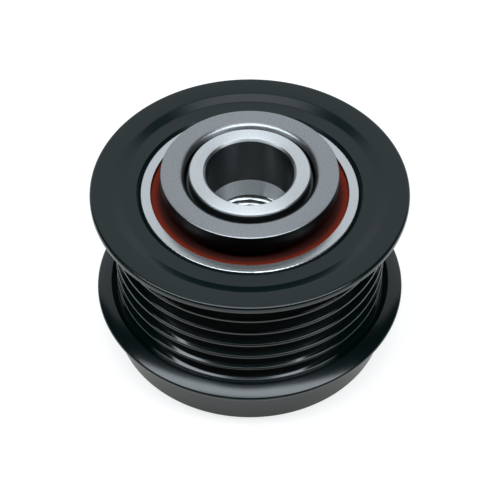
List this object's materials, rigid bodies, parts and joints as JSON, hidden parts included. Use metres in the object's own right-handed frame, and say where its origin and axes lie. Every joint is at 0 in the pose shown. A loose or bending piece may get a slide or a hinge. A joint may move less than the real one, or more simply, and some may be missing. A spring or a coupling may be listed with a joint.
{
  "type": "alternator pulley",
  "caption": "Overrunning alternator pulley: black ribbed sheave with two flanges, sealed ball bearings, sprung roller clutch and threaded hub sleeve with a disc at its nose.",
  "frame": {"origin": "centre of the sheave's front end face, on the axis; the part rests on that face", "axes": "+Z along the shaft axis, out of the hub's nose on the alternator side"},
  "size_m": [0.0614, 0.0614, 0.0414],
  "materials": {
    "black_coating": "satin",
    "hub_steel": "turned",
    "disc_steel": "turned",
    "ring_steel": "ground",
    "bearing_steel": "polished",
    "seal_rubber": "matte",
    "cage_resin": "moulded",
    "spring_steel": "bright"
  },
  "bodies": {
    "hub": {"hub_sleeve": "hub_steel", "flinger_disc": "disc_steel", "clutch_cam_ring": "bearing_steel", "clutch_cage": "cage_resin", "clutch_roller_1": "bearing_steel", "clutch_roller_2": "bearing_steel", "clutch_roller_3": "bearing_steel", "clutch_roller_4": "bearing_steel", "clutch_roller_5": "bearing_steel", "clutch_roller_6": "bearing_steel", "clutch_roller_7": "bearing_steel", "clutch_roller_8": "bearing_steel", "clutch_spring_1": "spring_steel", "clutch_spring_2": "spring_steel", "clutch_spring_3": "spring_steel", "clutch_spring_4": "spring_steel", "clutch_spring_5": "spring_steel", "clutch_spring_6": "spring_steel", "clutch_spring_7": "spring_steel", "clutch_spring_8": "spring_steel", "rear_bearing_inner_ring": "ring_steel", "front_bearing_inner_ring": "ring_steel"},
    "sheave": {"sheave": "black_coating", "clutch_outer_race": "bearing_steel", "rear_bearing_outer_ring": "ring_steel", "rear_bearing_outside_seal": "seal_rubber", "rear_bearing_inside_seal": "seal_rubber", "front_bearing_outer_ring": "ring_steel", "front_bearing_outside_seal": "seal_rubber", "front_bearing_inside_seal": "seal_rubber"},
    "rear_ball_set": {"rear_bearing_ball_cage": "cage_resin", "rear_bearing_ball_1": "bearing_steel", "rear_bearing_ball_2": "bearing_steel", "rear_bearing_ball_3": "bearing_steel", "rear_bearing_ball_4": "bearing_steel", "rear_bearing_ball_5": "bearing_steel", "rear_bearing_ball_6": "bearing_steel", "rear_bearing_ball_7": "bearing_steel", "rear_bearing_ball_8": "bearing_steel", "rear_bearing_ball_9": "bearing_steel", "rear_bearing_ball_10": "bearing_steel", "rear_bearing_ball_11": "bearing_steel"},
    "front_ball_set": {"front_bearing_ball_cage": "cage_resin", "front_bearing_ball_1": "bearing_steel", "front_bearing_ball_2": "bearing_steel", "front_bearing_ball_3": "bearing_steel", "front_bearing_ball_4": "bearing_steel", "front_bearing_ball_5": "bearing_steel", "front_bearing_ball_6": "bearing_steel", "front_bearing_ball_7": "bearing_steel", "front_bearing_ball_8": "bearing_steel", "front_bearing_ball_9": "bearing_steel", "front_bearing_ball_10": "bearing_steel", "front_bearing_ball_11": "bearing_steel"}
  },
  "joints": [
    {"name": "freewheel", "type": "hinge", "parent": "hub", "child": "sheave", "pos_m": [0, 0, 0.02], "axis": [0, 0, 1], "continuous": true},
    {"name": "rear_balls_orbit", "type": "hinge", "parent": "hub", "child": "rear_ball_set", "pos_m": [0, 0, 0.0316], "axis": [0, 0, 1], "continuous": true},
    {"name": "front_balls_orbit", "type": "hinge", "parent": "hub", "child": "front_ball_set", "pos_m": [0, 0, 0.0095], "axis": [0, 0, 1], "continuous": true}
  ],
  "couplings": [
    {"joint": "rear_balls_orbit", "follows": "freewheel", "ratio": 0.57105},
    {"joint": "front_balls_orbit", "follows": "freewheel", "ratio": 0.57105}
  ]
}
